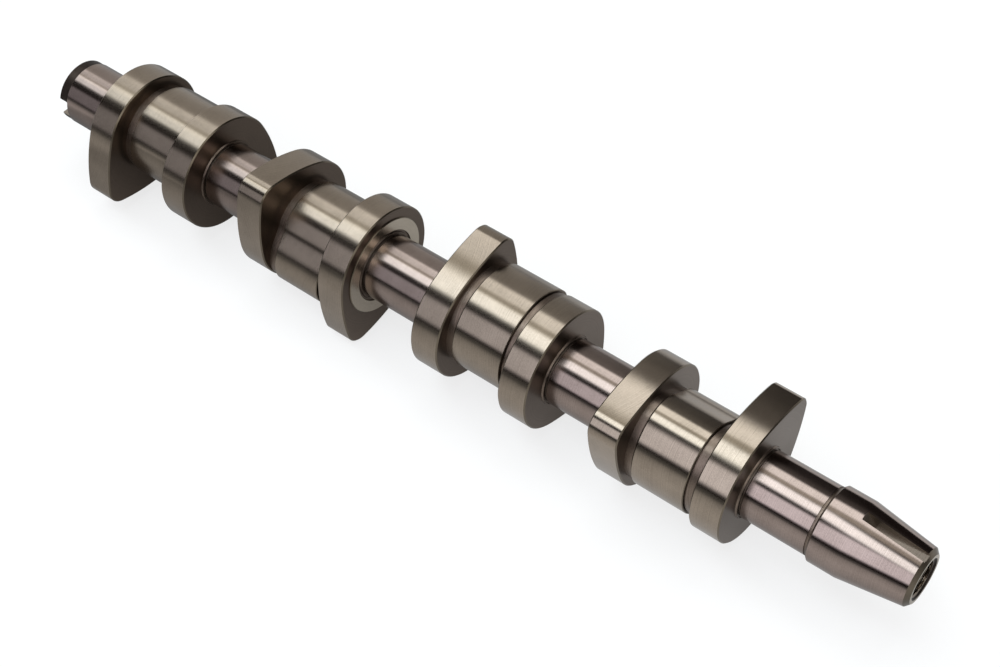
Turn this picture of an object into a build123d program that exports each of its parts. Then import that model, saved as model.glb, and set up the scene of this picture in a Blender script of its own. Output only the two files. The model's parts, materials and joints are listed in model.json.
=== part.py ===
from build123d import *
import math
import os

# Camshaft of a four-cylinder diesel engine with unit injectors, one steel forging ground all over.
# The shaft lies along X, from the pump slot (-X) to the sprocket taper (+X), and the origin is
# on its axis, in the middle of the thrust journal. Angles go about +X, from +Y towards +Z.

# Cylinders. Number 1 is at the taper, and the firing order is 1-3-4-2.
cylinder_pitch = 88.0
cylinder_phase = {1: 90.0, 2: 0.0, 3: 180.0, 4: 270.0}
group_outward_shift = 1.85

# Journals
journal_diameter = 28.5
front_journal_length = 28.8
rear_journal_length = 26.9
undercut_width = 1.6
undercut_depth = 0.45
collar_inner_diameter = 29.2
collar_outer_diameter = 30.6
collar_height = 0.65
collar_taper = 25.0

# Thrust faces beside the middle journal
thrust_face_diameter = 43.0
thrust_face_inner_diameter = 32.4
thrust_face_height = 0.6

# Valve cams, a pair for each cylinder
valve_cam_width = 13.1
valve_cam_base_diameter = 52.0
valve_cam_lift = 9.3
valve_cam_nose_radius = 8.0
valve_cam_flank_radius = 80.0
valve_cam_spread = 109.0
valve_cam_chamfer = 0.5

# Injector cam between each pair of valve cams. Its angles are counted from the cylinder's phase.
injector_cam_width = 22.9
injector_cam_base_diameter = 36.0
injector_cam_lift = 8.4
injector_rise_start = -28.0
injector_rise_end = 36.0
injector_return_start = 45.0
injector_return_end = 275.0
injector_return_ease_in = 1.4
injector_return_ease_out = 1.9
injector_angle_step = 10
injector_cam_chamfer = 0.3
neck_length = 3.55
neck_relief = 1.0

# Sprocket seat at the +X end
shoulder_groove_width = 1.2
shoulder_groove_depth = 0.4
shoulder_ramp_length = 1.4
seat_diameter = 31.3
seat_length = 11.2
taper_length = 26.0
taper_end_diameter = 24.0
nose_chamfer_length = 1.7
nose_chamfer_depth = 1.9
keyway_width = 4.0
keyway_setback = 1.0
keyway_start_depth = 4.3
keyway_runout_length = 4.8
thread_drill_diameter = 14.5
thread_depth = 36.0
thread_mouth_diameter = 17.4
drill_point_angle = 118.0

# Pump drive at the -X end
pump_end_diameter = 28.0
pump_end_length = 4.9
pump_end_chamfer = 0.4
pump_slot_width = 8.2
pump_slot_depth = 5.1
centre_hole_diameter = 3.2
centre_hole_mouth_diameter = 6.7
centre_hole_depth = 8.0
centre_hole_angle = 60.0

# Places along the axis
group_length = 2 * valve_cam_width + injector_cam_width + 2 * neck_length
inner_group_x = cylinder_pitch / 2 + group_outward_shift
outer_group_x = inner_group_x + cylinder_pitch
group_x = {1: outer_group_x, 2: inner_group_x, 3: -inner_group_x, 4: -outer_group_x}
thrust_gap_half = inner_group_x - group_length / 2
front_journal_start = outer_group_x + group_length / 2
front_journal_end = front_journal_start + front_journal_length
shoulder_end = front_journal_end + shoulder_ramp_length
taper_start = shoulder_end + seat_length
taper_end = taper_start + taper_length
nose_end = taper_end + nose_chamfer_length
rear_journal_end = -front_journal_start - rear_journal_length
pump_end = rear_journal_end - pump_end_length

journal_radius = journal_diameter / 2
seat_radius = seat_diameter / 2
taper_end_radius = taper_end_diameter / 2
taper_slope = (seat_radius - taper_end_radius) / taper_length


def along(centre, radius, degrees):
    """The point at a radius and an angle from a centre."""
    angle = math.radians(degrees)
    return (centre[0] + radius * math.cos(angle), centre[1] + radius * math.sin(angle))


def injector_cam_radius(degrees):
    """Radius of the injector cam: a quick rise, a short dwell and a long, slow return."""
    if degrees < injector_rise_end:
        turn = (degrees - injector_rise_start) / (injector_rise_end - injector_rise_start)
        lift = (1 - math.cos(math.pi * turn)) / 2
    elif degrees < injector_return_start:
        lift = 1.0
    elif degrees < injector_return_end:
        turn = (degrees - injector_return_start) / (injector_return_end - injector_return_start)
        lift = (1 - turn**injector_return_ease_in) ** injector_return_ease_out
    else:
        lift = 0.0
    return injector_cam_base_diameter / 2 + injector_cam_lift * lift


def injector_outline(relief):
    """Closed outline of the injector cam, or of the neck that follows it at a relief below."""
    centre = (0.0, 0.0)
    steps = round(360 / injector_angle_step)
    angles = [injector_rise_start + 360 * step / steps for step in range(steps)]
    points = [along(centre, injector_cam_radius(angle) - relief, angle) for angle in angles]
    with BuildSketch() as outline:
        with BuildLine():
            Spline(*points, periodic=True)
        make_face()
    return outline.sketch


def valve_cam_outline():
    """Outline of a valve cam, nose first: base circle, two flank arcs and a nose arc."""
    centre = (0.0, 0.0)
    base_radius = valve_cam_base_diameter / 2
    nose_distance = base_radius + valve_cam_lift - valve_cam_nose_radius
    flank_to_base = valve_cam_flank_radius - base_radius
    flank_to_nose = valve_cam_flank_radius - valve_cam_nose_radius
    flank_cosine = (flank_to_base**2 + nose_distance**2 - flank_to_nose**2) / (
        2 * flank_to_base * nose_distance
    )
    flank_angle = math.degrees(math.acos(flank_cosine))
    base_angle = 180 - flank_angle
    flank_centre = along(centre, flank_to_base, -flank_angle)
    nose_angle = math.degrees(math.atan2(-flank_centre[1], nose_distance - flank_centre[0]))
    base_point = along(centre, base_radius, base_angle)
    flank_middle = along(flank_centre, valve_cam_flank_radius, (base_angle + nose_angle) / 2)
    nose_point = along((nose_distance, 0.0), valve_cam_nose_radius, nose_angle)
    nose_tip = along((nose_distance, 0.0), valve_cam_nose_radius, 0)
    with BuildSketch() as outline:
        with BuildLine():
            flank = ThreePointArc(base_point, flank_middle, nose_point)
            ThreePointArc(nose_point, nose_tip, (nose_point[0], -nose_point[1]))
            mirror(flank, about=Plane.XZ)
            ThreePointArc(base_point, (-base_radius, 0.0), (base_point[0], -base_point[1]))
        make_face()
    return outline.sketch


def journal_corners():
    """Each corner between a journal and a cam: its place along X, and the side the journal is on."""
    corners = []
    for side in (1, -1):
        for middle in (inner_group_x, outer_group_x):
            corners.append((side * (middle - group_length / 2), -side))
            corners.append((side * (middle + group_length / 2), side))
    return corners


# Turned shaft: journals, pump end and sprocket seat in one section
with BuildPart() as turned_shaft:
    with BuildSketch(Plane.XZ) as half_section:
        with BuildLine():
            Polyline(
                (pump_end, 0),
                (pump_end, pump_end_diameter / 2 - pump_end_chamfer),
                (pump_end + pump_end_chamfer, pump_end_diameter / 2),
                (rear_journal_end, pump_end_diameter / 2),
                (rear_journal_end, journal_radius),
                (front_journal_end, journal_radius),
                (shoulder_end, seat_radius),
                (taper_start, seat_radius),
                (taper_end, taper_end_radius),
                (nose_end, taper_end_radius - nose_chamfer_depth),
                (nose_end, 0),
                close=True,
            )
        make_face()
    revolve(axis=Axis.X)

# Raised rings on the side faces: a narrow collar round each journal, and two thrust faces
with BuildPart() as face_rings:
    for corner_x, side in journal_corners():
        with BuildSketch(Plane.YZ.offset(corner_x)):
            Circle(collar_outer_diameter / 2)
        extrude(amount=side * collar_height, taper=collar_taper)
    for side in (1, -1):
        with BuildSketch(Plane.YZ.offset(side * thrust_gap_half)):
            Circle(thrust_face_diameter / 2)
            Circle(thrust_face_inner_diameter / 2, mode=Mode.SUBTRACT)
        extrude(amount=-side * thrust_face_height)

# One valve cam, nose at +Y, centred on the origin
with BuildPart() as valve_cam:
    with BuildSketch(Plane.YZ.offset(-valve_cam_width / 2)):
        add(valve_cam_outline())
    extrude(amount=valve_cam_width)
    end_faces = valve_cam.faces().filter_by(Axis.X)
    chamfer(end_faces.edges(), valve_cam_chamfer)

# One injector cam with its neck, for a cylinder whose phase is +Y
with BuildPart() as injector_cam:
    for end_x in (-injector_cam_width / 2, injector_cam_width / 2):
        with BuildSketch(Plane.YZ.offset(end_x)):
            add(injector_outline(relief=0.0))
    loft(ruled=True)
    cam_faces = injector_cam.faces().filter_by(Axis.X)
    chamfer(cam_faces.edges(), injector_cam_chamfer)
neck_reach = injector_cam_width / 2 + neck_length + valve_cam_width / 2
with BuildPart() as neck:
    for end_x in (-neck_reach, neck_reach):
        with BuildSketch(Plane.YZ.offset(end_x)):
            add(injector_outline(relief=neck_relief))
    loft(ruled=True)

# Grinding undercuts at the ends of the journals, and the groove at the seat's shoulder
with BuildPart() as undercuts:
    with BuildSketch(Plane.XZ) as undercut_sections:
        for corner_x, side in journal_corners():
            with BuildLine():
                Polyline(
                    (corner_x, collar_inner_diameter / 2),
                    (corner_x, journal_radius - undercut_depth),
                    (corner_x + side * (undercut_width - undercut_depth), journal_radius - undercut_depth),
                    (corner_x + side * undercut_width, journal_radius),
                    (corner_x + side * undercut_width, collar_inner_diameter / 2),
                    close=True,
                )
            make_face()
        with Locations((front_journal_end, journal_radius)):
            Rectangle(shoulder_groove_width, 2 * shoulder_groove_depth)
    revolve(axis=Axis.X)

# Threaded bore in the nose, left at its tapping drill
thread_drill_radius = thread_drill_diameter / 2
thread_mouth_radius = thread_mouth_diameter / 2
thread_bottom = nose_end - thread_depth
drill_point_length = thread_drill_radius / math.tan(math.radians(drill_point_angle / 2))
with BuildPart() as bolt_hole:
    with BuildSketch(Plane.XZ) as bolt_hole_section:
        with BuildLine():
            Polyline(
                (nose_end, 0),
                (nose_end, thread_mouth_radius),
                (nose_end - (thread_mouth_radius - thread_drill_radius), thread_drill_radius),
                (thread_bottom, thread_drill_radius),
                (thread_bottom - drill_point_length, 0),
                close=True,
            )
        make_face()
    revolve(axis=Axis.X)

# Keyway along the top of the taper. Its floor is level, so it is deep at the seat and shallow
# at the nose, and it starts in a slope that the cutter left.
keyway_start = taper_start + keyway_setback
keyway_start_top = seat_radius - taper_slope * keyway_setback
keyway_floor = keyway_start_top - keyway_start_depth
with BuildPart() as keyway:
    with BuildSketch(Plane.XZ) as keyway_side:
        with BuildLine():
            Polyline(
                (keyway_start, keyway_start_top),
                (keyway_start + keyway_runout_length, keyway_floor),
                (nose_end, keyway_floor),
                (nose_end, seat_diameter),
                (keyway_start, seat_diameter),
                close=True,
            )
        make_face()
    extrude(amount=keyway_width / 2, both=True)

# Cross slot that drives the pump, with the lathe's centre hole in its floor
pump_slot_floor = pump_end + pump_slot_depth
with BuildPart() as pump_slot:
    with BuildSketch(Plane.YZ.offset(pump_end)):
        Rectangle(pump_end_diameter, pump_slot_width)
    extrude(amount=pump_slot_depth)

# The whole camshaft
cam_offset = (group_length - valve_cam_width) / 2
with BuildPart() as camshaft:
    add(turned_shaft.part)
    for cylinder, phase in cylinder_phase.items():
        middle = group_x[cylinder]
        outward = math.copysign(1, middle)
        outboard_x = middle + outward * cam_offset
        inboard_x = middle - outward * cam_offset
        with Locations(Location((middle, 0, 0), (phase, 0, 0))):
            add(injector_cam.part)
            add(neck.part)
        with Locations(
            Location((outboard_x, 0, 0), (phase - valve_cam_spread / 2, 0, 0)),
            Location((inboard_x, 0, 0), (phase + valve_cam_spread / 2, 0, 0)),
        ):
            add(valve_cam.part)
    add(face_rings.part)
    add(undercuts.part, mode=Mode.SUBTRACT)
    add(bolt_hole.part, mode=Mode.SUBTRACT)
    add(keyway.part, mode=Mode.SUBTRACT)
    add(pump_slot.part, mode=Mode.SUBTRACT)
    with Locations(Plane(origin=(pump_slot_floor, 0, 0), z_dir=(-1, 0, 0))):
        CounterSinkHole(
            radius=centre_hole_diameter / 2,
            counter_sink_radius=centre_hole_mouth_diameter / 2,
            depth=centre_hole_depth,
            counter_sink_angle=centre_hole_angle,
        )

camshaft.part.label = "camshaft"

os.makedirs("parts", exist_ok=True)
export_step(camshaft.part, "parts/camshaft.step")
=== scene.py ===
# %% [markdown]
# # A camshaft in ground steel
# A camshaft turns once for every two turns of the crankshaft and opens the valves of an
# engine with its cams. This one carries two valve cams for each cylinder, and between them
# a wider cam that works a fuel injector. It is one piece of steel: forged, turned, then
# ground where something runs on it.
#
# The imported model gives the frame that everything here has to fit, in metres, with +X
# along the shaft towards the tapered nose.

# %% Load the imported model
import json
import math

import bmesh
import bpy
from mathutils import Matrix, Vector


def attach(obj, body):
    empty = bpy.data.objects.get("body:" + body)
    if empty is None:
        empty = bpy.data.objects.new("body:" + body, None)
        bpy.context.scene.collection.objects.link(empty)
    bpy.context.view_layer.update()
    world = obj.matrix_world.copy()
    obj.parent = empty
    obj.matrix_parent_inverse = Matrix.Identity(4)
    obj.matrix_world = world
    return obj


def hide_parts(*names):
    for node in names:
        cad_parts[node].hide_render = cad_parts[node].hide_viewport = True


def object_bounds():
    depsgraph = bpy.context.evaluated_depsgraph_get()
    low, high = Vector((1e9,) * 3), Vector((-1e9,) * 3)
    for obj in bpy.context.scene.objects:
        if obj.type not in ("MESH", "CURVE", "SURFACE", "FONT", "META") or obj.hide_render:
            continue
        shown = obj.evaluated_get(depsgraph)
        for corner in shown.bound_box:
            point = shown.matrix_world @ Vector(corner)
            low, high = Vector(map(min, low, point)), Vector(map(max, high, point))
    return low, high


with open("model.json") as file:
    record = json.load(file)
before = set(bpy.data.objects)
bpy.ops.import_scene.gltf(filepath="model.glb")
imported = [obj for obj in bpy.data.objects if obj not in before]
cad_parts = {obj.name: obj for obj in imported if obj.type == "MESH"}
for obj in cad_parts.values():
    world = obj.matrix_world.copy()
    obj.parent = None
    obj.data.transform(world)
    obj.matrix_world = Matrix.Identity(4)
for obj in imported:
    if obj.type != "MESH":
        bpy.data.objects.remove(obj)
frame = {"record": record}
cad_low, cad_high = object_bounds()
mounts = {mount["name"]: mount for mount in frame["record"]["mounts"]}
MM = 0.001
print("CAD box, mm:", [round((high - low) / MM, 1) for low, high in zip(cad_low, cad_high)])

# %% [markdown]
# ## Sizes
# The shaft is described as a drawing would give it, in millimetres and degrees, from a few
# driving sizes. Cams come in groups of three, one group for each cylinder. A group's phase
# is a direction near the middle of its injector cam's rise, about +X from +Y towards +Z.

# %% Driving sizes of the shaft
cylinder_pitch = 88.0
cylinder_phase = {4: 270.0, 3: 180.0, 2: 0.0, 1: 90.0}
pitches_from_middle = {4: -1.5, 3: -0.5, 2: 0.5, 1: 1.5}
group_outward_shift = 1.85
journal_radius = mounts["journal_rear"]["dims"]["r_mm"]
front_journal_length = 28.8
rear_journal_length = 26.9
undercut_width = 1.6
undercut_depth = 0.45
collar_inner_radius = 14.6
collar_outer_radius = 15.3
collar_height = 0.65
ring_chamfer = 0.3
thrust_inner_radius = 16.2
thrust_outer_radius = 21.5
thrust_height = 0.6
print("journals", 2 * journal_radius, "mm across, cylinders", cylinder_pitch, "mm apart")

# %% Sizes of the cams
valve_width = 13.1
valve_base_radius = 26.0
valve_lift = 9.3
valve_nose_radius = 8.0
valve_flank_radius = 80.0
valve_spread = 109.0
valve_chamfer = 0.5
injector_width = 22.9
injector_base_radius = 18.0
injector_lift = 8.4
injector_rise_start = -28.0
injector_rise_end = 36.0
injector_return_start = 45.0
injector_return_end = 275.0
injector_return_ease_in = 1.4
injector_return_ease_out = 1.9
injector_chamfer = 0.3
neck_length = 3.55
neck_relief = 1.0
neck_groove = 0.5
print("valve lift", valve_lift, "mm, injector lift", injector_lift, "mm")

# %% Sizes of the two ends
shoulder_groove_width = 1.2
shoulder_groove_depth = 0.4
shoulder_ramp_length = 1.4
seat_radius = 15.65
seat_length = 11.2
taper_length = 26.0
taper_end_radius = 12.0
nose_chamfer_length = 1.7
nose_chamfer_depth = 1.9
keyway_width = 4.0
keyway_setback = 1.0
keyway_start_depth = 4.3
keyway_runout_length = 4.8
bore_mouth_radius = 8.7
thread_minor_radius = 7.25
thread_major_radius = 8.0
thread_pitch = 1.5
thread_depth = 36.0
pump_end_radius = 14.0
pump_end_length = 4.9
pump_end_chamfer = 0.4
pump_slot_width = 8.2
pump_slot_depth = 5.1
centre_hole_radius = 1.6
centre_mouth_radius = 3.35
centre_hole_depth = 8.0
centre_hole_angle = 60.0
print("taper from", 2 * seat_radius, "down to", 2 * taper_end_radius, "mm")

# %% Places worked out from them
group_length = injector_width + 2 * (neck_length + valve_width)
group_x = {}
for cylinder, pitches in pitches_from_middle.items():
    group_x[cylinder] = pitches * cylinder_pitch + math.copysign(group_outward_shift, pitches)
group_end = group_x[1] + group_length / 2
front_journal_end = group_end + front_journal_length
shoulder_end = front_journal_end + shoulder_ramp_length
taper_start = shoulder_end + seat_length
taper_end = taper_start + taper_length
nose_end = taper_end + nose_chamfer_length
rear_journal_end = -group_end - rear_journal_length
pump_end = rear_journal_end - pump_end_length
print("groups at", {c: round(x, 2) for c, x in group_x.items()})
print("shaft from", round(pump_end, 2), "to", round(nose_end, 2))

# %% [markdown]
# ## The camera
# The shaft lies on its cams and is seen from in front and above, with the tapered nose
# nearest. A long lens keeps its ends nearly the same size. The camera is turned a third of
# a degree about its own line of sight, as a hand-set tripod head would be.

# %% Camera
camera_data = bpy.data.cameras.new("camera")
camera_data.lens = 66.70
camera_data.sensor_width = 36.0
camera_data.clip_end = 20.0
camera = bpy.data.objects.new("camera", camera_data)
bpy.context.scene.collection.objects.link(camera)
bpy.context.scene.camera = camera
camera_place = Vector((342.7, -379.8, 542.5)) * MM
sight = Vector((-0.41317, 0.52169, -0.74641)).normalized()
camera_roll = math.radians(0.335)
level = sight.cross(Vector((0.0, 0.0, 1.0))).normalized()
right = Matrix.Rotation(camera_roll, 3, sight) @ level
up = right.cross(sight)
turn = Matrix((right, up, -sight)).transposed()
camera.matrix_world = Matrix.Translation(camera_place) @ turn.to_4x4()
print("camera elevation", round(math.degrees(math.asin(-sight.z)), 1))


# %% [markdown]
# ## Two small helpers
# Colours are picked as sRGB hex values, and shaders work in linear light, so one function
# turns the first into the second. Another adds a node to a tree, with its settings and the
# values or links that go into it, which keeps a tree readable as a list of steps.

# %% Helpers for colours and nodes
MATH = "ShaderNodeMath"
MAP = "ShaderNodeMapRange"


def linear(hex_colour):
    """A linear RGBA colour from an sRGB hex value such as #8C827C."""
    parts = [int(hex_colour[i : i + 2], 16) / 255 for i in (1, 3, 5)]
    return [p / 12.92 if p <= 0.04045 else ((p + 0.055) / 1.055) ** 2.4 for p in parts] + [1.0]


def add(tree, kind, *inputs, **settings):
    """Adds a node. Inputs go to its sockets in order: a value, another node, a socket or None."""
    node = tree.nodes.new(kind)
    for name, value in settings.items():
        setattr(node, name, value)
    sockets = [socket for socket in node.inputs if socket.enabled]
    for socket, value in zip(sockets, inputs):
        if isinstance(value, bpy.types.Node):
            value = next(output for output in value.outputs if output.enabled)
        if isinstance(value, bpy.types.NodeSocket):
            tree.links.new(value, socket)
        elif value is not None:
            socket.default_value = value
    return node


print("#808080 is", round(linear("#808080")[0], 3), "in linear light")

# %% [markdown]
# ## Finishes
# The steel is the same all over, and what the eye sees is how each surface was cut, but for
# two places, where a paler copy of it is a painted highlight and a darker one painted shade.
# A grinding wheel leaves fine scratches that run round the shaft. They smear a reflection
# across themselves, which is along the shaft, and keep it sharp the other way, so a lamp
# becomes a crisp bright stripe from end to end. The Principled shader does this with its
# anisotropy, once its tangent follows the scratches: a radial tangent about X does so on
# round surfaces and on side faces alike.
#
# A tool mark is a line round the axis, so its pattern only changes along the shaft, or on
# a side face with the distance from the axis. Both come out of one noise that is read at
# the sum of the two. It tints the steel, changes its gloss and bends its normal a little.
#
# Real grinding marks lie a few hundredths of a millimetre apart, too fine to show. They
# are drawn about ten times as coarse.

# %% One steel, cut in different ways
cloud_mm = 9.0
grain_mm = 0.5
tangent_quarter_turn = 0.25


def steel(name, colour, worn_colour, roughness, anisotropic, mark_mm, mark_height_mm):
    """Steel with tool marks about the X axis, mark_mm apart and mark_height_mm high."""
    material = bpy.data.materials.new(name)
    material.use_nodes = True
    tree = material.node_tree
    shader = tree.nodes["Principled BSDF"]
    shader.inputs["Metallic"].default_value = 1.0
    shader.inputs["Anisotropic"].default_value = anisotropic
    shader.inputs["Anisotropic Rotation"].default_value = tangent_quarter_turn
    place = add(tree, "ShaderNodeTexCoord").outputs["Object"]
    parts = add(tree, "ShaderNodeSeparateXYZ", place)
    across = add(tree, "ShaderNodeCombineXYZ", 0.0, parts.outputs[1], parts.outputs[2])
    radius = add(tree, "ShaderNodeVectorMath", across, operation="LENGTH").outputs["Value"]
    run = add(tree, MATH, parts.outputs[0], radius, operation="ADD")
    lines_per_metre = 1 / (mark_mm * MM)
    marks = add(tree, "ShaderNodeTexNoise", run, lines_per_metre, 3.0, 0.6, noise_dimensions="1D")
    cloud = add(tree, "ShaderNodeTexNoise", place, 1 / (cloud_mm * MM), 4.0, 0.6)
    grain = add(tree, "ShaderNodeTexNoise", place, 1 / (grain_mm * MM), 2.0, 0.7)
    worn = add(tree, MATH, marks.outputs[0], cloud.outputs[0], operation="MULTIPLY")
    worn = add(tree, MATH, worn, grain.outputs[0], operation="MULTIPLY")
    share = add(tree, MAP, worn, 0.05, 0.22, 0.0, 1.0)
    tint = add(tree, "ShaderNodeMix", share, data_type="RGBA")
    tint.inputs["A"].default_value = linear(colour)
    tint.inputs["B"].default_value = linear(worn_colour)
    gloss = add(tree, MAP, marks, 0.3, 0.7, 0.94 * roughness, 1.06 * roughness)
    bump = add(tree, "ShaderNodeBump", 0.5, mark_height_mm * MM)
    tangent = add(tree, "ShaderNodeTangent", direction_type="RADIAL", axis="X")
    tree.links.new(marks.outputs[0], bump.inputs["Height"])
    tree.links.new(tint.outputs["Result"], shader.inputs["Base Color"])
    tree.links.new(gloss.outputs[0], shader.inputs["Roughness"])
    tree.links.new(bump.outputs[0], shader.inputs["Normal"])
    tree.links.new(tangent.outputs[0], shader.inputs["Tangent"])
    return material


# Ground journal: crisp bright stripes from end to end, a cool grey between them.
ground_journal = steel("ground_journal_steel", "#8D7F78", "#7B6E67", 0.17, 0.80, 0.35, 0.0001)
# Ground cam: the same stripes, a little softer and warmer.
ground_cam = steel("ground_cam_steel", "#8F8376", "#7D7266", 0.19, 0.80, 0.45, 0.0001)
# Turned side face: satin and darker, with a soft change of tone across it.
turned_face = steel("turned_face_steel", "#6E6156", "#665A50", 0.30, 0.40, 0.60, 0.0)
# Turned neck: dull, with tool lines that can be seen.
turned_neck = steel("turned_neck_steel", "#7B6E63", "#60534A", 0.40, 0.60, 0.60, 0.0020)
# Broken edge: a thin satin line round each cam.
broken_edge = steel("broken_edge_steel", "#6E6558", "#655C50", 0.30, 0.30, 0.20, 0.0)
# Ground thrust ring: the palest surface, nearly plain. On the nose's end face the same pale
# steel is a painted highlight.
thrust_and_nose_highlight = steel("ground_thrust_and_nose_highlight_steel", "#CCC1B1", "#BFB4A4", 0.25, 0.50, 0.40, 0.0005)
# Milled walls and floors: satin, with no direction to their shine.
milled_keyway = steel("milled_keyway_steel", "#82786E", "#6E645B", 0.35, 0.0, 0.50, 0.0)
# Drive end: left dark by heat treatment, with coarse tool lines. In the bore's mouth the
# same dark steel is painted shade.
drive_and_bore_shade = steel("drive_end_and_bore_shade_steel", "#3A322D", "#211B18", 0.45, 0.40, 0.50, 0.0050)
print("finishes:", [material.name for material in bpy.data.materials])

# %% [markdown]
# ## The shaft as a stack of rings
# Every cross-section of a camshaft is a closed curve about the same axis: a circle on a
# journal, an egg shape on a valve cam, a lopsided spiral on an injector cam. So the whole
# shaft can be one stack of rings, each with its place along X, its kind of curve, the way
# its nose points, and a size. Two rings at the same place make a flat side face, and two
# rings a little apart make a chamfer. That gives one closed skin of clean quads.
#
# A ring also carries the finish of the band between it and the next ring.

# %% What a ring holds
TURNED, VALVE, INJECTOR, THREAD = 0, 1, 2, 3
finishes = [
    ground_journal, ground_cam, turned_face, turned_neck, broken_edge, thrust_and_nose_highlight, drive_and_bore_shade
]
JOURNAL, CAM, FACE, NECK, EDGE, THRUST_AND_NOSE_HIGHLIGHT, DRIVE_AND_BORE_SHADE = range(len(finishes))
rings = []


def ring(x, kind, size, finish, phase=0.0):
    """One cross-section. Its size is a circle's radius, or how far a cam's outline is drawn in."""
    rings.append((x, kind, size, phase, finish))


print("a ring has one of", THREAD + 1, "kinds and one of", len(finishes), "finishes")

# %% [markdown]
# A grinding wheel can't reach into a corner, so each journal ends in a small undercut, and
# past it stands a narrow collar that the forging left. The two side faces at the middle
# journal have a raised ring as well, ground bright, because they hold the shaft endways.

# %% Where a journal meets a cam
def corner(face, side, thrust):
    """Rings from a journal to a side face; side is +1 where the journal is towards +X."""
    floor_radius = journal_radius - undercut_depth
    profile = [
        (undercut_width, journal_radius, NECK),
        (undercut_width - undercut_depth, floor_radius, NECK),
        (0.0, floor_radius, NECK),
        (0.0, collar_inner_radius, FACE),
        (collar_height, collar_inner_radius, NECK),
        (collar_height, collar_outer_radius - ring_chamfer, NECK),
        (0.0, collar_outer_radius, FACE),
    ]
    if thrust:
        profile += [
            (0.0, thrust_inner_radius, FACE),
            (thrust_height, thrust_inner_radius, THRUST_AND_NOSE_HIGHLIGHT),
            (thrust_height, thrust_outer_radius - ring_chamfer, EDGE),
            (thrust_height - ring_chamfer, thrust_outer_radius, FACE),
            (0.0, thrust_outer_radius, FACE),
        ]
    bands = [finish for *_, finish in profile]
    if side > 0:
        profile.reverse()
        bands = bands[-2::-1] + [JOURNAL]
    for (offset, radius, _), finish in zip(profile, bands):
        ring(face + side * offset, TURNED, radius, finish)


# %% A cam, with its edges broken
def cam(kind, left, width, chamfer, phase):
    """Rings of one cam, from its -X side face to its +X side face."""
    ring(left, kind, chamfer, EDGE, phase)
    ring(left + chamfer, kind, 0.0, CAM, phase)
    ring(left + width - chamfer, kind, 0.0, EDGE, phase)
    ring(left + width, kind, chamfer, FACE, phase)


# %% [markdown]
# The two valve cams of a cylinder point to either side of its injector cam. In the two
# groups at the -X end they change places, so the shaft is laid out the same way from its
# middle to both ends. A neck, a little smaller than the injector cam and of the same
# outline, joins it to each valve cam, with a fine groove where the grinding wheel stopped.

# %% The three cams of a cylinder
def cam_group(cylinder):
    """Two valve cams with the injector cam and its necks between them."""
    phase = cylinder_phase[cylinder]
    left = group_x[cylinder] - group_length / 2
    right = left + group_length
    turn_left = math.copysign(valve_spread / 2, group_x[cylinder])
    injector_left = left + valve_width + neck_length
    injector_right = injector_left + injector_width
    groove_relief = neck_relief + neck_groove
    corner(left, -1, thrust=cylinder == 2)
    cam(VALVE, left, valve_width, valve_chamfer, phase + turn_left)
    ring(left + valve_width, INJECTOR, neck_relief, NECK, phase)
    ring(injector_left - neck_groove, INJECTOR, neck_relief, FACE, phase)
    ring(injector_left - neck_groove, INJECTOR, groove_relief, FACE, phase)
    ring(injector_left, INJECTOR, groove_relief, FACE, phase)
    cam(INJECTOR, injector_left, injector_width, injector_chamfer, phase)
    ring(injector_right, INJECTOR, groove_relief, FACE, phase)
    ring(injector_right + neck_groove, INJECTOR, groove_relief, FACE, phase)
    ring(injector_right + neck_groove, INJECTOR, neck_relief, NECK, phase)
    ring(right - valve_width, INJECTOR, neck_relief, FACE, phase)
    cam(VALVE, right - valve_width, valve_width, valve_chamfer, phase - turn_left)
    corner(right, 1, thrust=cylinder == 3)


# %% [markdown]
# At the -X end a short, dark spigot drives a pump. A lathe's centre has left a hole with a
# cone-shaped mouth in the floor of its slot. At the +X end the journal runs through a
# narrow groove up to the seat of the sprocket, and then comes the taper, with a bore for
# the sprocket's bolt.

# %% The pump end and the four cylinders
slot_floor = pump_end + pump_slot_depth
half_cone = math.radians(centre_hole_angle / 2)
centre_cone_depth = (centre_mouth_radius - centre_hole_radius) / math.tan(half_cone)
ring(slot_floor + centre_hole_depth, TURNED, 0.0, FACE)
ring(slot_floor + centre_hole_depth, TURNED, centre_hole_radius, FACE)
ring(slot_floor + centre_cone_depth, TURNED, centre_hole_radius, FACE)
ring(slot_floor, TURNED, centre_mouth_radius, FACE)
ring(pump_end, TURNED, centre_mouth_radius, FACE)
ring(pump_end, TURNED, pump_end_radius - pump_end_chamfer, DRIVE_AND_BORE_SHADE)
ring(pump_end + pump_end_chamfer, TURNED, pump_end_radius, DRIVE_AND_BORE_SHADE)
ring(rear_journal_end, TURNED, pump_end_radius, DRIVE_AND_BORE_SHADE)
ring(rear_journal_end, TURNED, journal_radius, JOURNAL)
for cylinder in cylinder_phase:
    cam_group(cylinder)
print(len(rings), "rings up to the front journal")

# %% The sprocket seat, the taper and the bore
groove_left = front_journal_end - shoulder_groove_width / 2
groove_right = front_journal_end + shoulder_groove_width / 2
groove_radius = journal_radius - shoulder_groove_depth
ramp_slope = (seat_radius - journal_radius) / shoulder_ramp_length
bore_start = nose_end - (bore_mouth_radius - thread_major_radius)
ring(groove_left, TURNED, journal_radius, FACE)
ring(groove_left, TURNED, groove_radius, NECK)
ring(groove_right, TURNED, groove_radius, NECK)
ring(groove_right, TURNED, journal_radius + ramp_slope * shoulder_groove_width / 2, NECK)
ring(shoulder_end, TURNED, seat_radius, JOURNAL)
ring(taper_start, TURNED, seat_radius, JOURNAL)
ring(taper_end, TURNED, taper_end_radius, EDGE)
# The nose's end face takes the pale thrust steel: a painted highlight.
ring(nose_end, TURNED, taper_end_radius - nose_chamfer_depth, THRUST_AND_NOSE_HIGHLIGHT)
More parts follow.
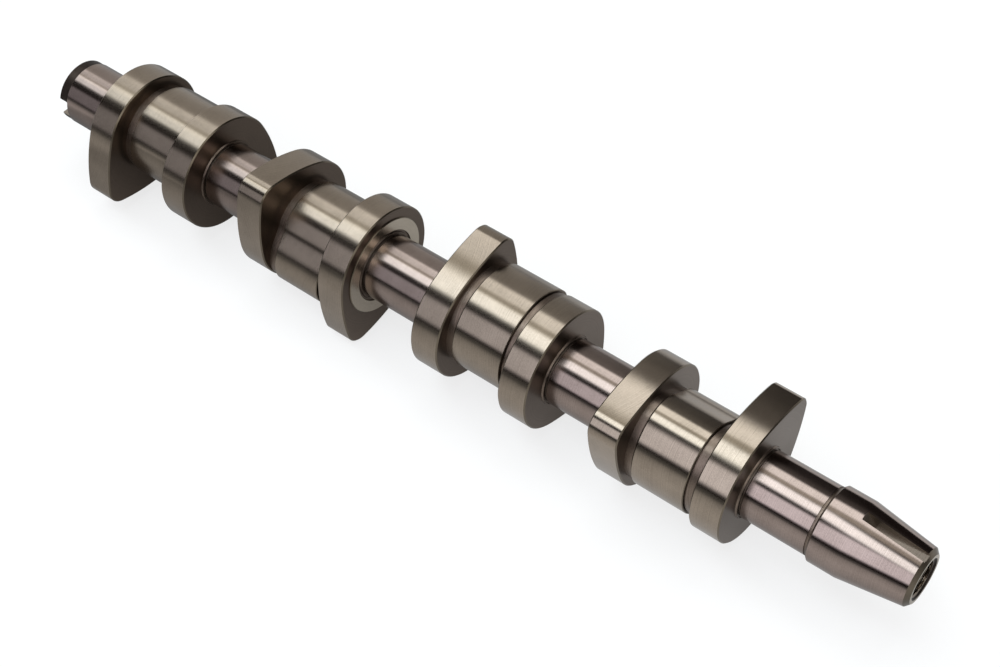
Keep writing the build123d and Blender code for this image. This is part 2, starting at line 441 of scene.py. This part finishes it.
# The bore's mouth chamfer takes the dark drive-end steel: painted shade.
ring(nose_end, TURNED, bore_mouth_radius, DRIVE_AND_BORE_SHADE)
ring(bore_start, TURNED, thread_major_radius, FACE)
ring(nose_end - thread_depth, TURNED, thread_major_radius, FACE)
ring(nose_end - thread_depth, TURNED, 0.0, FACE)
shaft_rings = list(rings)
print(len(shaft_rings), "rings in the shaft")

# %% [markdown]
# The thread is a ring stack too, a sleeve that lines the bore. Its inner wall is laid in
# narrow rows, and on each of them the radius follows a ridge that moves on by one pitch in
# a turn. Its outer wall lies in the steel of the shaft, out of sight. The sleeve's rings
# run out along that wall to the mouth and back along the thread, so that faces point out.

# %% Rings of the threaded sleeve
rings.clear()
rows_per_pitch = 10
thread_runout = 1.5
sleeve_wall = 0.25
row_step = thread_pitch / rows_per_pitch
rows = round((thread_depth - thread_runout) / row_step)
sleeve_radius = thread_major_radius + sleeve_wall
sleeve_start = bore_start - rows * row_step
ring(sleeve_start, TURNED, sleeve_radius, FACE)
ring(bore_start, TURNED, sleeve_radius, FACE)
ring(bore_start, TURNED, thread_major_radius, CAM)
for row in range(1, rows):
    ring(bore_start - row * row_step, THREAD, 0.0, CAM)
ring(sleeve_start, TURNED, thread_major_radius, FACE)
ring(sleeve_start, TURNED, sleeve_radius, FACE)
thread_rings = list(rings)
print(len(thread_rings), "rings in the thread")

# %% [markdown]
# ## The arcs of a valve cam
# A valve cam is drawn with arcs that meet in line: the base circle, on which the valve
# stays shut, a large flank arc on each side and a small arc over the nose. The centres of
# the base circle, the flank and the nose form a triangle with known sides, and the law of
# cosines gives its angles. A spline through points could do it too, but may wave between
# them.

# %% Where the arcs of a valve cam meet
nose_centre = valve_base_radius + valve_lift - valve_nose_radius
flank_to_base = valve_flank_radius - valve_base_radius
flank_to_nose = valve_flank_radius - valve_nose_radius
squares = flank_to_base**2 + nose_centre**2 - flank_to_nose**2
flank_angle = math.acos(squares / (2 * flank_to_base * nose_centre))
base_angle = math.pi - flank_angle
flank_x = flank_to_base * math.cos(flank_angle)
flank_y = -flank_to_base * math.sin(flank_angle)
join_angle = math.atan2(-flank_y, nose_centre - flank_x)
print("the flank leaves the base circle at", round(math.degrees(base_angle), 1), "degrees")

# %% [markdown]
# ## From rings to a skin with Geometry Nodes
# The rings go in as the points of a mesh, with their kind, size and phase as attributes.
# The tree lays a grid with one row for each ring, and moves each of its points by the rule
# for its row. Every size that a rule needs is a named input of the tree.

# %% Named inputs of the tree
tree = bpy.data.node_groups.new("camshaft_from_rings", "GeometryNodeTree")
tree.interface.new_socket("Rings", in_out="INPUT", socket_type="NodeSocketGeometry")
tree.interface.new_socket("Skin", in_out="OUTPUT", socket_type="NodeSocketGeometry")
tree.interface.new_socket("Steps Around", in_out="INPUT", socket_type="NodeSocketInt")
steps_key = tree.interface.items_tree["Steps Around"].identifier
sizes = {
    "Valve Base Radius": valve_base_radius * MM,
    "Valve Nose Radius": valve_nose_radius * MM,
    "Valve Flank Radius": valve_flank_radius * MM,
    "Nose Centre": nose_centre * MM,
    "Flank Centre Along": flank_x * MM,
    "Flank Centre Aside": flank_y * MM,
    "Flank Starts": base_angle,
    "Nose Joins": join_angle,
    "Injector Base Radius": injector_base_radius * MM,
    "Injector Lift": injector_lift * MM,
    "Rise Start": math.radians(injector_rise_start),
    "Rise End": math.radians(injector_rise_end),
    "Return Start": math.radians(injector_return_start),
    "Return End": math.radians(injector_return_end),
    "Ease In": injector_return_ease_in,
    "Ease Out": injector_return_ease_out,
    "Thread Radius": thread_major_radius * MM,
    "Thread Depth": (thread_major_radius - thread_minor_radius) * MM,
    "Thread Pitch": thread_pitch * MM,
}
for name, size in sizes.items():
    socket = tree.interface.new_socket(name, in_out="INPUT", socket_type="NodeSocketFloat")
    socket.default_value = size
given = add(tree, "NodeGroupInput").outputs
print(len(sizes), "sizes go into the tree")

# %% A grid with one row for each ring
steps = given["Steps Around"]
ring_count = add(tree, "GeometryNodeAttributeDomainSize", given["Rings"], component="MESH")
columns = add(tree, MATH, steps, 1, operation="ADD")
grid = add(tree, "GeometryNodeMeshGrid", 1.0, 1.0, ring_count, columns)
index = add(tree, "GeometryNodeInputIndex")
half_past = add(tree, MATH, index, 0.5, operation="ADD")
row = add(tree, MATH, half_past, columns, operation="DIVIDE")
row = add(tree, MATH, row, operation="FLOOR")
column = add(tree, MATH, index, columns, operation="MODULO")
step_angle = add(tree, MATH, math.tau, steps, operation="DIVIDE")
angle = add(tree, MATH, column, step_angle, operation="MULTIPLY")
print(len(tree.nodes), "nodes up to the grid")

# %% What each row reads from its ring
SAMPLE = "GeometryNodeSampleIndex"
ring_place = add(tree, "GeometryNodeInputPosition")
ring_place = add(tree, SAMPLE, given["Rings"], ring_place, row, data_type="FLOAT_VECTOR")
x = add(tree, "ShaderNodeSeparateXYZ", ring_place).outputs[0]
of_ring = {}
for name in ("kind", "size", "phase"):
    value = add(tree, "GeometryNodeInputNamedAttribute", name, data_type="FLOAT")
    of_ring[name] = add(tree, SAMPLE, given["Rings"], value, row, data_type="FLOAT")
size = of_ring["size"]
from_nose = add(tree, MATH, angle, of_ring["phase"], operation="SUBTRACT")
away = add(tree, MATH, from_nose, math.pi, -math.pi, operation="WRAP")
away = add(tree, MATH, away, operation="ABSOLUTE")
print("each row reads its place and", list(of_ring))

# %% [markdown]
# On a valve cam the radius is where a ray from the axis meets the outline. A ray meets an
# arc at the ray's nearest point to the arc's centre, plus half of the chord that the ray
# cuts. Its angle from the nose says which of the three arcs it meets.

# %% Radius of a valve cam
away_cosine = add(tree, MATH, away, operation="COSINE")
away_sine = add(tree, MATH, away, operation="SINE")


def ray_to_arc(centre_along, centre_aside, radius):
    """How far a ray at the angle `away` goes from the axis to the far side of an arc."""
    nearest = add(tree, MATH, centre_along, away_cosine, operation="MULTIPLY")
    nearest = add(tree, MATH, centre_aside, away_sine, nearest, operation="MULTIPLY_ADD")
    aside = add(tree, MATH, centre_along, away_sine, operation="MULTIPLY")
    turned_aside = add(tree, MATH, centre_aside, away_cosine, operation="MULTIPLY")
    aside = add(tree, MATH, aside, turned_aside, operation="SUBTRACT")
    aside_squared = add(tree, MATH, aside, aside, operation="MULTIPLY")
    half_chord = add(tree, MATH, radius, radius, operation="MULTIPLY")
    half_chord = add(tree, MATH, half_chord, aside_squared, operation="SUBTRACT")
    half_chord = add(tree, MATH, half_chord, operation="SQRT")
    return add(tree, MATH, nearest, half_chord, operation="ADD")


nose_radius = add(tree, MATH, given["Valve Nose Radius"], size, operation="SUBTRACT")
flank_radius = add(tree, MATH, given["Valve Flank Radius"], size, operation="SUBTRACT")
on_base = add(tree, MATH, given["Valve Base Radius"], size, operation="SUBTRACT")
on_nose = ray_to_arc(given["Nose Centre"], 0.0, nose_radius)
on_flank = ray_to_arc(given["Flank Centre Along"], given["Flank Centre Aside"], flank_radius)
print(len(tree.nodes), "nodes up to the arcs")

# %% Which arc the ray meets
SWITCH = "GeometryNodeSwitch"
join_sine = add(tree, MATH, given["Nose Joins"], operation="SINE")
join_cosine = add(tree, MATH, given["Nose Joins"], operation="COSINE")
join_aside = add(tree, MATH, nose_radius, join_sine, operation="MULTIPLY")
join_along = add(
    tree, MATH, nose_radius, join_cosine, given["Nose Centre"], operation="MULTIPLY_ADD"
)
nose_limit = add(tree, MATH, join_aside, join_along, operation="ARCTAN2")
past_flank = add(tree, MATH, away, given["Flank Starts"], operation="GREATER_THAN")
valve_radius = add(tree, SWITCH, past_flank, on_flank, on_base, input_type="FLOAT")
before_join = add(tree, MATH, away, nose_limit, operation="LESS_THAN")
valve_radius = add(tree, SWITCH, before_join, valve_radius, on_nose, input_type="FLOAT")
print(len(tree.nodes), "nodes up to the valve cam")

# %% [markdown]
# An injector cam lifts its rocker quickly, holds it for a moment and lets it back slowly,
# so that the pump chamber fills without foaming. Half a cosine makes the rise, and two
# powers make the return: one sets how it leaves the top, the other how it lands.

# %% Radius of an injector cam
rise_turn_end = add(tree, MATH, given["Rise Start"], math.tau, operation="ADD")
turned = add(tree, MATH, from_nose, rise_turn_end, given["Rise Start"], operation="WRAP")
rise = add(tree, MAP, turned, given["Rise Start"], given["Rise End"], 0.0, math.pi)
rise = add(tree, MATH, rise, operation="COSINE")
rise = add(tree, MATH, rise, -0.5, 0.5, operation="MULTIPLY_ADD")
back = add(tree, MAP, turned, given["Return Start"], given["Return End"], 0.0, 1.0)
back = add(tree, MATH, back, given["Ease In"], operation="POWER")
back = add(tree, MATH, 1.0, back, operation="SUBTRACT")
back = add(tree, MATH, back, given["Ease Out"], operation="POWER")
lift = add(tree, MATH, rise, back, operation="MINIMUM")
injector_radius = add(
    tree, MATH, given["Injector Lift"], lift, given["Injector Base Radius"], operation="MULTIPLY_ADD"
)
injector_radius = add(tree, MATH, injector_radius, size, operation="SUBTRACT")
print(len(tree.nodes), "nodes up to the injector cam")

# %% [markdown]
# The thread's ridge climbs one pitch in a turn. A wave that goes up and down once in each
# pitch makes its two flanks, and cutting both ends off the wave leaves the flats.

# %% Radius of the thread
flat_at_major, flat_at_minor = 0.06, 0.40
along_in_pitches = add(tree, MATH, x, given["Thread Pitch"], operation="DIVIDE")
turn_share = add(tree, MATH, angle, math.tau, operation="DIVIDE")
ridge = add(tree, MATH, along_in_pitches, turn_share, operation="SUBTRACT")
ridge = add(tree, MATH, ridge, 0.5, operation="PINGPONG")
ridge = add(tree, MAP, ridge, flat_at_major, flat_at_minor, 0.0, 1.0)
ridge_height = add(tree, MATH, ridge, given["Thread Depth"], operation="MULTIPLY")
thread_radius = add(tree, MATH, given["Thread Radius"], ridge_height, operation="SUBTRACT")
print(len(tree.nodes), "nodes up to the thread")

# %% Each row moved to the radius for its kind
radius = size
for number, rule in enumerate((valve_radius, injector_radius, thread_radius)):
    later = add(tree, MATH, of_ring["kind"], number + 0.5, operation="GREATER_THAN")
    radius = add(tree, SWITCH, later, radius, rule, input_type="FLOAT")
y = add(tree, MATH, angle, operation="COSINE")
y = add(tree, MATH, radius, y, operation="MULTIPLY")
z = add(tree, MATH, angle, operation="SINE")
z = add(tree, MATH, radius, z, operation="MULTIPLY")
place = add(tree, "ShaderNodeCombineXYZ", x, y, z)
moved = add(tree, "GeometryNodeSetPosition", grid, None, place)
print(len(tree.nodes), "nodes up to the placed rows")

# %% [markdown]
# Welding closes the skin where the grid's first and last columns meet, and where a ring of
# no size makes a point. A smooth skin needs true corners kept sharp, so edges that bend
# by more than 20 degrees are. Then each band takes its finish.

# %% Closed, sharp at its corners, and dressed
weld_distance = 1e-6
crisp_angle = math.radians(20)
band = add(tree, MATH, half_past, steps, operation="DIVIDE")
band = add(tree, MATH, band, operation="FLOOR")
finish = add(tree, "GeometryNodeInputNamedAttribute", "finish", data_type="FLOAT")
of_band = add(tree, SAMPLE, given["Rings"], finish, band, data_type="FLOAT")
marked = add(
    tree,
    "GeometryNodeStoreNamedAttribute",
    moved,
    None,
    "finish",
    of_band,
    data_type="FLOAT",
    domain="FACE",
)
closed = add(tree, "GeometryNodeMergeByDistance", marked, None, weld_distance)
flipped = add(tree, "GeometryNodeFlipFaces", closed)
shaded = add(tree, "GeometryNodeSetShadeSmooth", flipped, None, True, domain="FACE")
bend = add(tree, "GeometryNodeInputMeshEdgeAngle")
bent = add(tree, MATH, bend, crisp_angle, operation="GREATER_THAN")
crisp = add(tree, "GeometryNodeSetShadeSmooth", shaded, bent, False, domain="EDGE")
dressed = add(tree, "GeometryNodeRealizeInstances", crisp)
for number, material in enumerate(finishes):
    chosen = add(tree, MATH, finish, number, 0.5, operation="COMPARE")
    dressed = add(tree, "GeometryNodeSetMaterial", dressed, chosen, material)
add(tree, "NodeGroupOutput", dressed)
print(len(tree.nodes), "nodes in the tree")


# %% A skin from a list of rings
def skin(name, ring_list, steps_around):
    """Lays the tree's skin over a list of rings, as a plain mesh object."""
    points = bpy.data.meshes.new(name)
    points.from_pydata([(x * MM, 0.0, 0.0) for x, *_ in ring_list], [], [])
    for column, attribute_name in enumerate(("kind", "size", "phase", "finish"), start=1):
        attribute = points.attributes.new(attribute_name, "FLOAT", "POINT")
        scale = {"size": MM, "phase": math.radians(1)}.get(attribute_name, 1.0)
        attribute.data.foreach_set("value", [values[column] * scale for values in ring_list])
    source = bpy.data.objects.new(name, points)
    bpy.context.scene.collection.objects.link(source)
    modifier = source.modifiers.new("skin", "NODES")
    modifier.node_group = tree
    modifier[steps_key] = steps_around
    graph = bpy.context.evaluated_depsgraph_get()
    mesh = bpy.data.meshes.new_from_object(source.evaluated_get(graph))
    bpy.data.objects.remove(source)
    piece = bpy.data.objects.new(name, mesh)
    bpy.context.scene.collection.objects.link(piece)
    triangles = sum(len(face.vertices) - 2 for face in mesh.polygons)
    print(name, len(mesh.vertices), "points", triangles, "triangles")
    return piece


shaft_steps = 448
thread_steps = 120
shaft = skin("camshaft_body", shaft_rings, shaft_steps)
thread = skin("sprocket_bolt_thread", thread_rings, thread_steps)

# %% [markdown]
# ## The keyway and the pump slot
# A milling cutter makes both. So a block of the cutter's path is taken away from the skin
# with a Boolean, and the cut walls keep the material of the block. The rings could not
# make them, because they are not the same all the way round.

# %% Blocks that the milling cutter takes away
def block(name, corners, half_width, across, material):
    """A prism: corners in the plane of the cut, reaching half_width to both sides of an axis."""
    count = len(corners)
    points = []
    for reach in (-half_width, half_width):
        for x, other in corners:
            y, z = (reach, other) if across == "Y" else (other, reach)
            points.append((x * MM, y * MM, z * MM))
    faces = [list(range(count)), list(range(2 * count - 1, count - 1, -1))]
    faces += [[i, count + i, count + (i + 1) % count, (i + 1) % count] for i in range(count)]
    mesh = bpy.data.meshes.new(name)
    mesh.from_pydata(points, [], faces)
    mesh.materials.append(material)
    build = bmesh.new()
    build.from_mesh(mesh)
    bmesh.ops.recalc_face_normals(build, faces=build.faces)
    build.to_mesh(mesh)
    build.free()
    cutter = bpy.data.objects.new(name, mesh)
    bpy.context.scene.collection.objects.link(cutter)
    return cutter


past_end = 1.0
past_side = 20.0
taper_slope = (seat_radius - taper_end_radius) / taper_length
keyway_start = taper_start + keyway_setback
keyway_top = seat_radius - taper_slope * keyway_setback
keyway_floor = keyway_top - keyway_start_depth
keyway_side = [
    (keyway_start, keyway_top),
    (keyway_start + keyway_runout_length, keyway_floor),
    (nose_end + past_end, keyway_floor),
    (nose_end + past_end, past_side),
    (keyway_start, past_side),
]
slot_side = [
    (pump_end - past_end, -past_side),
    (slot_floor, -past_side),
    (slot_floor, past_side),
    (pump_end - past_end, past_side),
]
cutters = [
    block("keyway_cut", keyway_side, keyway_width / 2, "Y", milled_keyway),
    block("pump_slot_cut", slot_side, pump_slot_width / 2, "Z", milled_keyway),
]
print("keyway floor", round(keyway_floor, 2), "mm above the axis")

# %% The cuts
for cutter in cutters:
    cut = shaft.modifiers.new(cutter.name, "BOOLEAN")
    cut.operation = "DIFFERENCE"
    cut.solver = "MANIFOLD"
    cut.material_mode = "TRANSFER"
    cut.object = cutter
graph = bpy.context.evaluated_depsgraph_get()
milled_mesh = bpy.data.meshes.new_from_object(shaft.evaluated_get(graph))
shaft.modifiers.clear()
shaft.data = milled_mesh
for cutter in cutters:
    bpy.data.objects.remove(cutter)
milled_mesh.set_sharp_from_angle(angle=crisp_angle)
print("milled shaft:", len(milled_mesh.vertices), "points")

# %% Onto the frame
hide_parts("camshaft")
for piece in (shaft, thread):
    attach(piece, "root")
print("pieces:", [piece.name for piece in (shaft, thread)])

# %% [markdown]
# ## The studio
# The shaft lies on a plain pale table that fills the view. Where the camera sees it, three
# quarters of its light is its own, so it stays pale, and the rest comes from the lamps, so
# the shaft's shadow stays on it.
#
# The steel sees the table too, in the lower half of every round surface. For its eyes the
# table is a pool of light: a bright strip in front of the shaft, dimmer under it, where the
# shaft's shadow is painted into the pool, behind it and towards the pump, and bright again
# far behind and past the pump's end. So a round surface fades as it turns under, which shows
# that it is round.

# %% The pool of light that the steel sees
table_z = cad_low[2]
table_half = 3.0
pool_front, front_level = -0.40, 0.08
pool_back, back_level = 0.20, 1.0
# Levels of the pool across the shaft, in metres; the dip under the shaft is its painted shadow.
pool_levels = {
    -0.06: 1.0,
    -0.035: 0.85,
    -0.015: 0.55,
    0.0: 0.42,
    0.02: 0.42,
    0.05: 0.62,
    0.08: 0.50,
}
pale = bpy.data.materials.new("pale_table")
pale.use_nodes = True
tree = pale.node_tree
place = add(tree, "ShaderNodeSeparateXYZ", add(tree, "ShaderNodeTexCoord").outputs["Object"])
x, y = place.outputs[0], place.outputs[1]
pool = add(tree, "ShaderNodeValToRGB", add(tree, MAP, y, pool_front, pool_back, 0.0, 1.0))
stops = pool.color_ramp.elements
stops[0].color = (front_level, front_level, front_level, 1.0)
stops[1].color = (back_level, back_level, back_level, 1.0)
for distance, level in pool_levels.items():
    share = (distance - pool_front) / (pool_back - pool_front)
    stops.new(share).color = (level, level, level, 1.0)
print(len(stops), "levels across the pool")

# %% The pool along the shaft
towards_pump = add(tree, MAP, x, 0.10, -0.20, 1.0, 0.45)
past_pump = add(tree, MAP, x, -0.225, -0.26, 0.0, 0.55)
along_shaft = add(tree, MATH, towards_pump, past_pump, operation="ADD")
behind = add(tree, MAP, y, -0.03, 0.0, 0.0, 0.42)
far_corner = add(tree, MAP, x, 0.15, -0.16, 0.0, 1.0)
loss = add(tree, MATH, behind, far_corner, operation="MULTIPLY")
kept = add(tree, MATH, 1.0, loss, operation="SUBTRACT")
pool = add(tree, MATH, pool, along_shaft, operation="MULTIPLY")
pool = add(tree, MATH, pool, kept, operation="MULTIPLY")
print(len(tree.nodes), "nodes up to the pool")

# %% The table
own_share_seen = 0.75
own_share_in_steel = 0.9
matt = tree.nodes["Principled BSDF"]
matt.inputs["Base Color"].default_value = (0.9, 0.9, 0.9, 1.0)
matt.inputs["Roughness"].default_value = 0.9
ray = add(tree, "ShaderNodeLightPath").outputs
own = add(tree, MATH, ray["Is Glossy Ray"], own_share_in_steel, operation="MULTIPLY")
for seen_by in ("Is Camera Ray", "Is Transmission Ray"):
    own = add(tree, MATH, ray[seen_by], own_share_seen, own, operation="MULTIPLY_ADD")
strength = add(tree, "ShaderNodeMix", ray["Is Glossy Ray"], 1.0, pool)
glow = add(tree, "ShaderNodeEmission", (1.0, 1.0, 1.0, 1.0), strength)
both = add(tree, "ShaderNodeMixShader", own, matt, glow)
tree.links.new(both.outputs[0], tree.nodes["Material Output"].inputs["Surface"])
table_mesh = bpy.data.meshes.new("table")
around = ((-1, -1), (1, -1), (1, 1), (-1, 1))
corners = [(x * table_half, y * table_half, table_z) for x, y in around]
table_mesh.from_pydata(corners, [], [(0, 1, 2, 3)])
table_mesh.materials.append(pale)
table = bpy.data.objects.new("table", table_mesh)
bpy.context.scene.collection.objects.link(table)
print("table at", round(table_z / MM, 1), "mm")

# %% [markdown]
# Polished steel shows its surroundings more than itself, so the light is laid out as a
# product photographer would: long soft boxes beside and above the shaft, with dark gaps
# between them. Every box lies along the shaft, so one angle about X says where it is: 0
# is level behind the shaft, 90 straight above it and 180 level in front. The world shader
# works out that angle for each direction and adds up the boxes. Area lamps could do it
# too, with a place, a size and a turn to set for each. Here one angle places a stripe.
#
# How far a direction points along the shaft is its reach, from -1 at the pump end to 1 at
# the nose. A box can be brighter towards one end, run askew, and end at some reach.

# %% The dark studio
scene = bpy.context.scene
scene.view_settings.view_transform = "Standard"
world = bpy.data.worlds.new("studio")
world.use_nodes = True
scene.world = world
sky = world.node_tree
background = sky.nodes["Background"]
direction = add(sky, "ShaderNodeTexCoord").outputs["Generated"]
parts = add(sky, "ShaderNodeSeparateXYZ", direction)
reach = parts.outputs[0]
about_x = add(sky, MATH, parts.outputs[2], parts.outputs[1], operation="ARCTAN2")
degrees_up = add(sky, MATH, about_x, operation="DEGREES")
light_sum = (0.026, 0.021, 0.020)
print("the unlit studio is", light_sum)

# %% How a soft box is made
level_fade = 0.10
end_fade = 0.07
past_the_end = 0.1


def soft_box(total, angles, levels, turn_at, ends_at, tint):
    """Adds a box to the total. Angles are its centre, half width, soft edge and skew, in
    degrees, and its two levels, for the pump end and the nose, change over at turn_at."""
    centre, half_width, soft, skew = angles
    pump_level, nose_level = levels
    leaning = add(sky, MATH, reach, skew, degrees_up, operation="MULTIPLY_ADD")
    apart = add(sky, MATH, leaning, centre, operation="SUBTRACT")
    apart = add(sky, MATH, apart, operation="ABSOLUTE")
    shape = add(sky, MAP, apart, half_width + soft, half_width - soft, 0.0, 1.0)
    shape.interpolation_type = "SMOOTHSTEP"
    level_from, level_to = turn_at - level_fade, turn_at + level_fade
    level = add(sky, MAP, reach, level_from, level_to, pump_level, nose_level)
    level.interpolation_type = "SMOOTHSTEP"
    strength = add(sky, MATH, shape, level, operation="MULTIPLY")
    length = add(sky, MAP, reach, ends_at - end_fade, ends_at + end_fade, 1.0, past_the_end)
    strength = add(sky, MATH, strength, length, operation="MULTIPLY")
    light = add(sky, "ShaderNodeVectorMath", tint, strength, operation="MULTIPLY")
    return add(sky, "ShaderNodeVectorMath", total, light, operation="ADD")


# %% [markdown]
# Four boxes make the main stripes: one in front of the top, one behind it, a weak one that
# fills the gap between these two, and a wide one low in front. Two faint ones stand
# behind the shaft. The last three light the shaft when it is seen from the pump's side.

# %% The soft boxes
boxes = {
    "front top": ((113.5, 12.0, 4.5, -24.0), (2.0, 4.0), -0.50, 0.20, (1.0, 1.10, 1.16)),
    "back top": ((68.5, 12.0, 4.5, 0.0), (1.45, 2.85), -0.43, 0.17, (1.0, 1.05, 1.07)),
    "between": ((87.0, 7.0, 6.0, 0.0), (0.9, 1.0), -0.45, 0.25, (1.02, 1.02, 0.92)),
    "low front": ((149.6, 19.5, 5.0, 10.0), (0.40, 2.35), -0.39, 0.20, (0.98, 1.0, 1.11)),
    "low back": ((22.0, 40.0, 12.0, 0.0), (0.70, 0.0), -0.37, 0.17, (1.0, 1.0, 0.97)),
    "back": ((50.0, 11.0, 13.0, 0.0), (0.0, 0.14), -0.37, 0.17, (1.0, 0.98, 0.95)),
    "top, from the pump": ((82.0, 13.0, 6.0, 0.0), (0.0, 2.2), 0.42, 0.72, (1.0, 1.03, 1.05)),
    "front, from the pump": ((136.0, 9.0, 6.0, 0.0), (0.0, 1.5), 0.42, 0.72, (1.0, 1.02, 1.05)),
    "back, from the pump": ((4.0, 12.0, 8.0, 0.0), (0.0, 0.7), 0.50, 0.72, (1.0, 1.0, 1.0)),
}
for box in boxes.values():
    light_sum = soft_box(light_sum, *box)
print(len(boxes), "soft boxes:", list(boxes))

# %% [markdown]
# A last, broad box stands past the nose. The side faces and broken edges that look that
# way see it, so the cams stand out from each other. It is dimmer straight ahead, which
# keeps the end of the nose from glaring.

# %% The end box
end_centre = 115.0
end_outer, end_inner = 75.0, 25.0
end_tint = (1.0, 0.96, 0.82)
end_shape = add(sky, MATH, degrees_up, end_centre, operation="SUBTRACT")
end_shape = add(sky, MATH, end_shape, operation="ABSOLUTE")
end_shape = add(sky, MAP, end_shape, end_outer, end_inner, 0.0, 1.0)
end_near = add(sky, MAP, reach, 0.50, 0.68, 0.0, 0.9)
end_far = add(sky, MAP, reach, 0.82, 0.94, 1.0, 0.15)
end_level = add(sky, MATH, end_near, end_far, operation="MULTIPLY")
end_level = add(sky, MATH, end_level, end_shape, operation="MULTIPLY")
end_light = add(sky, "ShaderNodeVectorMath", end_tint, end_level, operation="MULTIPLY")
light_sum = add(sky, "ShaderNodeVectorMath", light_sum, end_light, operation="ADD")
print("end box about", end_centre, "degrees")

# %% [markdown]
# Past the edge of the table the camera would look straight into the boxes and the dark
# between them. It sees plain white there instead, while the steel goes on seeing the boxes.

# %% White past the table's edge
white = (1.0, 1.0, 1.0, 1.0)
seen = add(sky, "ShaderNodeLightPath").outputs["Is Camera Ray"]
shown = add(sky, "ShaderNodeMix", seen, light_sum, white, data_type="RGBA")
sky.links.new(shown.outputs["Result"], background.inputs["Color"])
background.inputs["Strength"].default_value = 1.0
print(len(sky.nodes), "nodes in the sky")
